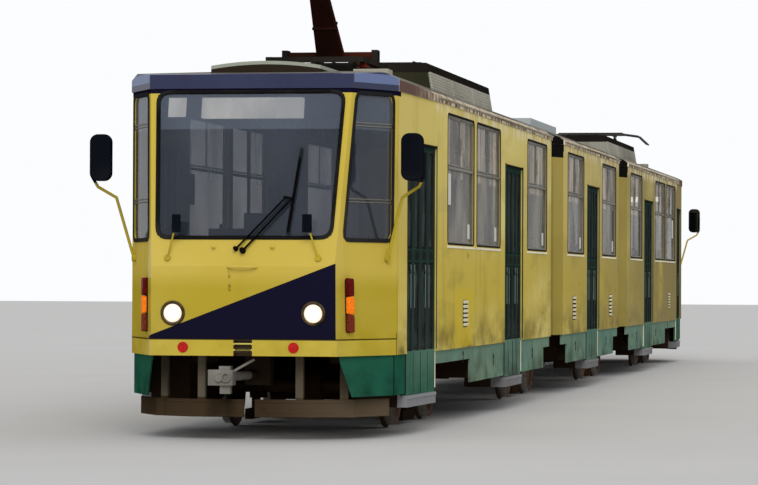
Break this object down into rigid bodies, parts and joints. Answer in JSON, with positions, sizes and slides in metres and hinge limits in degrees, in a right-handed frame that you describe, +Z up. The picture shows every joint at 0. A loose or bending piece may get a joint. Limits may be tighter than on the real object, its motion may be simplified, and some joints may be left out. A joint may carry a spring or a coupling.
{
  "type": "tram",
  "caption": "Three-section articulated tram with a cab at each end, on shared two-axle bogies, with folding doors and single-arm pantographs.",
  "frame": {"origin": "on the floor plane under the middle of the vehicle, at the tips of the wheel flanges, 25 mm below the rail top", "axes": "+Z up, +Y towards the cab with the lowered pantograph, the cab with the raised pantograph at -Y, +X to the side with the four working door leaves"},
  "size_m": [2.89, 30.4382, 5.5594],
  "materials": {
    "body_paint": "weathered gloss enamel",
    "skirt_paint": "faded satin enamel",
    "door_paint": "faded satin enamel",
    "roof_paint": "matt, dusty",
    "floor_steel": "matt, grimy",
    "glass": "clear, slightly tinted",
    "seat_shell": "worn",
    "cab_plastic": "satin",
    "lamp_glass": "clear and red lenses",
    "mirror_shell": "satin",
    "wiper_steel": "satin",
    "guard_paint": "dusty",
    "coupler_iron": "worn grey paint",
    "roof_gear_paint": "matt, dusty",
    "bellows_rubber": "matt",
    "arm_paint": "red-brown oxide",
    "arm_steel": "dull",
    "bogie_iron": "brake dust",
    "wheel_steel": "polished tread, rusty disc"
  },
  "bodies": {
    "middle_section": {"middle_body": "body_paint", "middle_roof": "roof_paint", "middle_floor": "floor_steel", "middle_skirts": "skirt_paint", "middle_windows": "glass", "middle_saloon": "seat_shell", "middle_roof_gear": "roof_gear_paint", "middle_doors": "door_paint"},
    "front_section": {"front_body": "body_paint", "front_roof": "roof_paint", "front_floor": "floor_steel", "front_skirts": "skirt_paint", "front_windows": "glass", "front_saloon": "seat_shell", "front_cab": "cab_plastic", "front_lamps": "lamp_glass", "front_mirrors": "mirror_shell", "front_wiper": "wiper_steel", "front_lifeguard": "guard_paint", "front_coupler": "coupler_iron", "front_roof_gear": "roof_gear_paint", "front_doors": "door_paint", "front_bellows": "bellows_rubber"},
    "front_lower_arm": {"front_pantograph_lower_arm": "arm_paint"},
    "front_upper_arm": {"front_pantograph_upper_arm": "arm_steel"},
    "front_head": {"front_pantograph_head": "arm_steel"},
    "rear_section": {"rear_body": "body_paint", "rear_roof": "roof_paint", "rear_floor": "floor_steel", "rear_skirts": "skirt_paint", "rear_windows": "glass", "rear_saloon": "seat_shell", "rear_cab": "cab_plastic", "rear_lamps": "lamp_glass", "rear_mirrors": "mirror_shell", "rear_wiper": "wiper_steel", "rear_lifeguard": "guard_paint", "rear_coupler": "coupler_iron", "rear_roof_gear": "roof_gear_paint", "rear_doors": "door_paint", "rear_bellows": "bellows_rubber"},
    "rear_lower_arm": {"rear_pantograph_lower_arm": "arm_paint"},
    "rear_upper_arm": {"rear_pantograph_upper_arm": "arm_steel"},
    "rear_head": {"rear_pantograph_head": "arm_steel"},
    "door_leaf_1": {"front_door_leaf_1": "door_paint"},
    "door_leaf_2": {"front_door_leaf_2": "door_paint"},
    "door_leaf_3": {"front_door_leaf_3": "door_paint"},
    "door_leaf_4": {"front_door_leaf_4": "door_paint"},
    "bogie_1": {"bogie_1_frame": "bogie_iron"},
    "bogie_1_wheelset_1": {"bogie_1_wheelset_1": "wheel_steel"},
    "bogie_1_wheelset_2": {"bogie_1_wheelset_2": "wheel_steel"},
    "bogie_2": {"bogie_2_frame": "bogie_iron"},
    "bogie_2_wheelset_1": {"bogie_2_wheelset_1": "wheel_steel"},
    "bogie_2_wheelset_2": {"bogie_2_wheelset_2": "wheel_steel"},
    "bogie_3": {"bogie_3_frame": "bogie_iron"},
    "bogie_3_wheelset_1": {"bogie_3_wheelset_1": "wheel_steel"},
    "bogie_3_wheelset_2": {"bogie_3_wheelset_2": "wheel_steel"},
    "bogie_4": {"bogie_4_frame": "bogie_iron"},
    "bogie_4_wheelset_1": {"bogie_4_wheelset_1": "wheel_steel"},
    "bogie_4_wheelset_2": {"bogie_4_wheelset_2": "wheel_steel"}
  },
  "joints": [
    {"name": "front_articulation", "type": "hinge", "parent": "middle_section", "child": "front_section", "pos_m": [0, -3.75, 0.85], "axis": [0, 0, 1], "range_deg": [-20, 20], "deforming": ["front_bellows"]},
    {"name": "rear_articulation", "type": "hinge", "parent": "middle_section", "child": "rear_section", "pos_m": [0, 3.75, 0.85], "axis": [0, 0, 1], "range_deg": [-20, 20], "deforming": ["rear_bellows"]},
    {"name": "bogie_1_pivot", "type": "hinge", "parent": "front_section", "child": "bogie_1", "pos_m": [0, -11.25, 0.85], "axis": [0, 0, 1], "range_deg": [-10, 10]},
    {"name": "bogie_2_pivot", "type": "hinge", "parent": "middle_section", "child": "bogie_2", "pos_m": [0, -3.75, 0.85], "axis": [0, 0, 1], "range_deg": [-10, 10]},
    {"name": "bogie_3_pivot", "type": "hinge", "parent": "middle_section", "child": "bogie_3", "pos_m": [0, 3.75, 0.85], "axis": [0, 0, 1], "range_deg": [-10, 10]},
    {"name": "bogie_4_pivot", "type": "hinge", "parent": "rear_section", "child": "bogie_4", "pos_m": [0, 11.25, 0.85], "axis": [0, 0, 1], "range_deg": [-10, 10]},
    {"name": "bogie_1_axle_1", "type": "hinge", "parent": "bogie_1", "child": "bogie_1_wheelset_1", "pos_m": [0, -12.2, 0.375], "axis": [1, 0, 0], "continuous": true},
    {"name": "bogie_1_axle_2", "type": "hinge", "parent": "bogie_1", "child": "bogie_1_wheelset_2", "pos_m": [0, -10.3, 0.375], "axis": [1, 0, 0], "continuous": true},
    {"name": "bogie_2_axle_1", "type": "hinge", "parent": "bogie_2", "child": "bogie_2_wheelset_1", "pos_m": [0, -4.7, 0.375], "axis": [1, 0, 0], "continuous": true},
    {"name": "bogie_2_axle_2", "type": "hinge", "parent": "bogie_2", "child": "bogie_2_wheelset_2", "pos_m": [0, -2.8, 0.375], "axis": [1, 0, 0], "continuous": true},
    {"name": "bogie_3_axle_1", "type": "hinge", "parent": "bogie_3", "child": "bogie_3_wheelset_1", "pos_m": [0, 2.8, 0.375], "axis": [1, 0, 0], "continuous": true},
    {"name": "bogie_3_axle_2", "type": "hinge", "parent": "bogie_3", "child": "bogie_3_wheelset_2", "pos_m": [0, 4.7, 0.375], "axis": [1, 0, 0], "continuous": true},
    {"name": "bogie_4_axle_1", "type": "hinge", "parent": "bogie_4", "child": "bogie_4_wheelset_1", "pos_m": [0, 10.3, 0.375], "axis": [1, 0, 0], "continuous": true},
    {"name": "bogie_4_axle_2", "type": "hinge", "parent": "bogie_4", "child": "bogie_4_wheelset_2", "pos_m": [0, 12.2, 0.375], "axis": [1, 0, 0], "continuous": true},
    {"name": "front_lower_arm_pivot", "type": "hinge", "parent": "front_section", "child": "front_lower_arm", "pos_m": [0, -11.3, 3.455], "axis": [1, 0, 0], "range_deg": [-12, 39]},
    {"name": "front_knee", "type": "hinge", "parent": "front_lower_arm", "child": "front_upper_arm", "pos_m": [0, -12.30325, 4.35833], "axis": [1, 0, 0], "range_deg": [-75.27, 23.16]},
    {"name": "front_head_pivot", "type": "hinge", "parent": "front_upper_arm", "child": "front_head", "pos_m": [0, -10.94324, 5.45964], "axis": [1, 0, 0], "range_deg": [-11.16, 36.27]},
    {"name": "rear_lower_arm_pivot", "type": "hinge", "parent": "rear_section", "child": "rear_lower_arm", "pos_m": [0, 11.3, 3.455], "axis": [-1, 0, 0], "range_deg": [-51, 0]},
    {"name": "rear_knee", "type": "hinge", "parent": "rear_lower_arm", "child": "rear_upper_arm", "pos_m": [0, 12.64815, 3.52565], "axis": [-1, 0, 0], "range_deg": [0, 98.43]},
    {"name": "rear_head_pivot", "type": "hinge", "parent": "rear_upper_arm", "child": "rear_head", "pos_m": [0, 10.90014, 3.60901], "axis": [-1, 0, 0], "range_deg": [-47.43, 0]},
    {"name": "door_leaf_1_pivot", "type": "hinge", "parent": "front_section", "child": "door_leaf_1", "pos_m": [1.195, -8.134, 1.4], "axis": [0, 0, 1], "range_deg": [0, 85]},
    {"name": "door_leaf_2_fold", "type": "hinge", "parent": "door_leaf_1", "child": "door_leaf_2", "pos_m": [1.228, -7.825, 1.4], "axis": [0, 0, 1], "range_deg": [-170, 0]},
    {"name": "door_leaf_4_pivot", "type": "hinge", "parent": "front_section", "child": "door_leaf_4", "pos_m": [1.195, -6.886, 1.4], "axis": [0, 0, 1], "range_deg": [-85, 0]},
    {"name": "door_leaf_3_fold", "type": "hinge", "parent": "door_leaf_4", "child": "door_leaf_3", "pos_m": [1.228, -7.195, 1.4], "axis": [0, 0, 1], "range_deg": [0, 170]}
  ],
  "couplings": [
    {"joint": "bogie_2_pivot", "follows": "front_articulation", "ratio": 0.5},
    {"joint": "bogie_3_pivot", "follows": "rear_articulation", "ratio": 0.5},
    {"joint": "front_knee", "follows": "front_lower_arm_pivot", "ratio": -1.93},
    {"joint": "front_head_pivot", "follows": "front_lower_arm_pivot", "ratio": 0.93},
    {"joint": "rear_knee", "follows": "rear_lower_arm_pivot", "ratio": -1.93},
    {"joint": "rear_head_pivot", "follows": "rear_lower_arm_pivot", "ratio": 0.93},
    {"joint": "door_leaf_2_fold", "follows": "door_leaf_1_pivot", "ratio": -2},
    {"joint": "door_leaf_4_pivot", "follows": "door_leaf_1_pivot", "ratio": -1},
    {"joint": "door_leaf_3_fold", "follows": "door_leaf_1_pivot", "ratio": 2}
  ]
}
